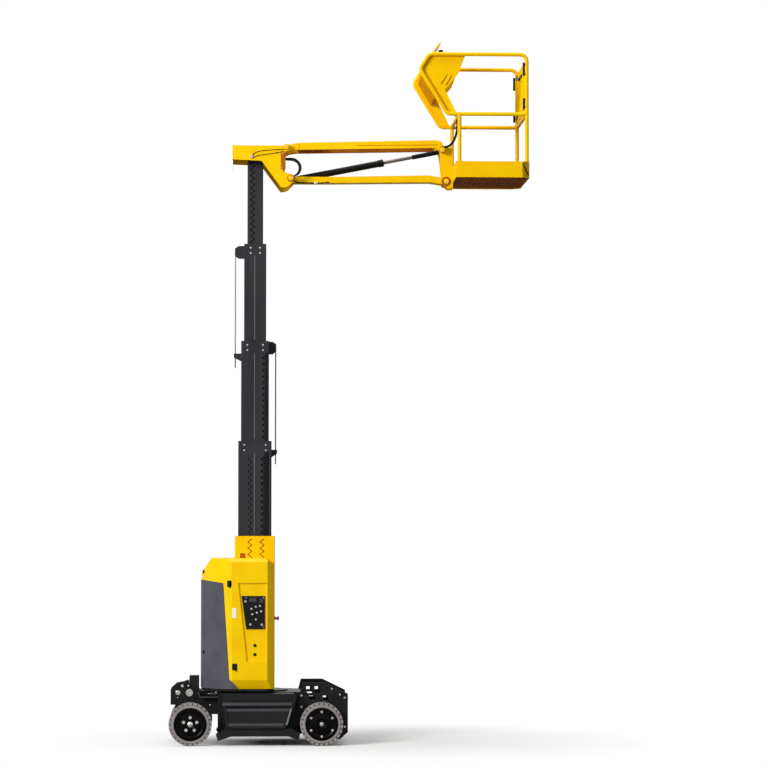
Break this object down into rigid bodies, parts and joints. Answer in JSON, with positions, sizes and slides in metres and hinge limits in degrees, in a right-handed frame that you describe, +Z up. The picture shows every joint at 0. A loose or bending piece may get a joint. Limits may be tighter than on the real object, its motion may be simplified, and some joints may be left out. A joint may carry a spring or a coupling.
{
  "type": "vertical mast lift",
  "caption": "Battery-electric mast lift: slewing turret, telescopic mast, parallelogram jib and a guard-railed work basket on four wheels.",
  "frame": {"origin": "on the ground, under the middle of the machine's length and width", "axes": "+X towards the basket, +Y the machine's left side, +Z up"},
  "size_m": [3.2319, 0.99, 6.36],
  "materials": {
    "chassis_black": "satin black enamel",
    "ballast_iron": "rough cast",
    "cover_plastic": "moulded black plastic",
    "tyre_rubber": "light non-marking rubber",
    "wheel_black": "gloss black enamel",
    "yellow_paint": "gloss yellow powder coat",
    "yellow_hood": "yellow moulded hood",
    "grey_hood": "dark grey moulded cover",
    "battery_case": "plain black case",
    "panel_black": "matt black",
    "stop_red": "red button",
    "mast_paint": "satin charcoal powder coat",
    "sheave_steel": "oiled steel",
    "cable_steel": "wire rope",
    "cylinder_black": "satin black enamel",
    "rod_chrome": "hard chrome"
  },
  "bodies": {
    "chassis": {"chassis_frame": "chassis_black", "ballast_block": "ballast_iron", "steer_axle": "chassis_black", "drive_axle": "chassis_black", "side_cover_left": "cover_plastic", "side_cover_right": "cover_plastic", "front_plate_left": "chassis_black", "front_plate_right": "chassis_black", "rear_bracket": "chassis_black", "junction_box": "cover_plastic", "slewing_ring": "chassis_black"},
    "knuckle_left": {"knuckle_left": "chassis_black"},
    "knuckle_right": {"knuckle_right": "chassis_black"},
    "wheel_rear_left": {"tyre_rear_left": "tyre_rubber", "wheel_disc_rear_left": "wheel_black"},
    "wheel_rear_right": {"tyre_rear_right": "tyre_rubber", "wheel_disc_rear_right": "wheel_black"},
    "wheel_front_left": {"tyre_front_left": "tyre_rubber", "wheel_disc_front_left": "wheel_black"},
    "wheel_front_right": {"tyre_front_right": "tyre_rubber", "wheel_disc_front_right": "wheel_black"},
    "turret": {"slewing_platform": "chassis_black", "mast_base": "yellow_paint", "hood_left": "yellow_hood", "hood_right": "yellow_hood", "hood_cap": "yellow_hood", "rear_cover": "grey_hood", "battery_pack": "battery_case", "control_panel": "panel_black", "emergency_stop": "stop_red"},
    "mast_2": {"mast_section_2": "mast_paint", "lift_cable_2": "cable_steel"},
    "mast_3": {"mast_section_3": "mast_paint", "lift_cable_3": "cable_steel", "sheave_3": "sheave_steel"},
    "mast_4": {"mast_section_4": "mast_paint", "sheave_4": "sheave_steel"},
    "mast_5": {"mast_section_5": "mast_paint", "head_bracket": "yellow_paint"},
    "jib_arm": {"jib_arm": "yellow_paint"},
    "jib_boom": {"jib_boom": "yellow_paint"},
    "jib_cylinder": {"jib_cylinder": "cylinder_black"},
    "jib_rod": {"jib_cylinder_rod": "rod_chrome"},
    "basket": {"basket_carrier": "yellow_paint", "basket_floor": "yellow_paint", "toe_board": "yellow_paint", "guard_rails": "yellow_paint", "side_plate_left": "yellow_paint", "side_plate_right": "yellow_paint", "platform_console": "yellow_hood", "console_shield": "yellow_paint"},
    "gate_left": {"gate_left": "yellow_paint"},
    "gate_right": {"gate_right": "yellow_paint"}
  },
  "joints": [
    {"name": "steer_left", "type": "hinge", "parent": "chassis", "child": "knuckle_left", "pos_m": [-1.424, 0.4, 0.192], "axis": [0, 0, 1], "range_deg": [-36, 36]},
    {"name": "roll_rear_left", "type": "hinge", "parent": "knuckle_left", "child": "wheel_rear_left", "pos_m": [-1.424, 0.4325, 0.192], "axis": [0, 1, 0], "continuous": true},
    {"name": "roll_front_left", "type": "hinge", "parent": "chassis", "child": "wheel_front_left", "pos_m": [-0.255, 0.4325, 0.192], "axis": [0, 1, 0], "continuous": true},
    {"name": "steer_right", "type": "hinge", "parent": "chassis", "child": "knuckle_right", "pos_m": [-1.424, -0.4, 0.192], "axis": [0, 0, 1], "range_deg": [-36, 36]},
    {"name": "roll_rear_right", "type": "hinge", "parent": "knuckle_right", "child": "wheel_rear_right", "pos_m": [-1.424, -0.4325, 0.192], "axis": [0, 1, 0], "continuous": true},
    {"name": "roll_front_right", "type": "hinge", "parent": "chassis", "child": "wheel_front_right", "pos_m": [-0.255, -0.4325, 0.192], "axis": [0, 1, 0], "continuous": true},
    {"name": "slew", "type": "hinge", "parent": "chassis", "child": "turret", "pos_m": [-0.851, 0, 0.49], "axis": [0, 0, 1], "range_deg": [-172, 172]},
    {"name": "extend_2", "type": "slide", "parent": "turret", "child": "mast_2", "axis": [0, 0, 1], "range_m": [-0.845, 0]},
    {"name": "extend_3", "type": "slide", "parent": "mast_2", "child": "mast_3", "axis": [0, 0, 1], "range_m": [-0.845, 0], "deforming": ["lift_cable_2"]},
    {"name": "extend_4", "type": "slide", "parent": "mast_3", "child": "mast_4", "axis": [0, 0, 1], "range_m": [-0.845, 0], "deforming": ["lift_cable_3"]},
    {"name": "extend_5", "type": "slide", "parent": "mast_4", "child": "mast_5", "axis": [0, 0, 1], "range_m": [-0.845, 0]},
    {"name": "jib_lift", "type": "hinge", "parent": "mast_5", "child": "jib_arm", "pos_m": [-0.531, 0, 5.103], "axis": [0, -1, 0], "range_deg": [-65, 65]},
    {"name": "jib_link", "type": "hinge", "parent": "mast_5", "child": "jib_boom", "pos_m": [-0.571, 0, 5.385], "axis": [0, -1, 0], "range_deg": [-65, 65]},
    {"name": "cylinder_swing", "type": "hinge", "parent": "mast_5", "child": "jib_cylinder", "pos_m": [-0.531, 0, 5.103], "axis": [0, -1, 0], "range_deg": [-65, 65]},
    {"name": "rod_stroke", "type": "slide", "parent": "jib_cylinder", "child": "jib_rod", "axis": [0.9811, 0, 0.1934], "range_m": [-0.2577, 0.2577]},
    {"name": "basket_level", "type": "hinge", "parent": "jib_arm", "child": "basket", "pos_m": [0.889, 0, 5.093], "axis": [0, -1, 0], "range_deg": [-65, 65]},
    {"name": "gate_left_swing", "type": "hinge", "parent": "basket", "child": "gate_left", "pos_m": [1.589, 0.434, 5.9], "axis": [0, 0, -1], "range_deg": [0, 90]},
    {"name": "gate_right_swing", "type": "hinge", "parent": "basket", "child": "gate_right", "pos_m": [1.589, -0.434, 5.9], "axis": [0, 0, 1], "range_deg": [0, 90]}
  ],
  "couplings": [
    {"joint": "steer_right", "follows": "steer_left", "ratio": 1},
    {"joint": "extend_3", "follows": "extend_2", "ratio": 1},
    {"joint": "extend_4", "follows": "extend_2", "ratio": 1},
    {"joint": "extend_5", "follows": "extend_2", "ratio": 1},
    {"joint": "jib_link", "follows": "jib_lift", "ratio": 1},
    {"joint": "cylinder_swing", "follows": "jib_lift", "ratio": 1},
    {"joint": "rod_stroke", "follows": "jib_lift", "m_per_rad": 0.22707},
    {"joint": "basket_level", "follows": "jib_lift", "ratio": -1}
  ]
}
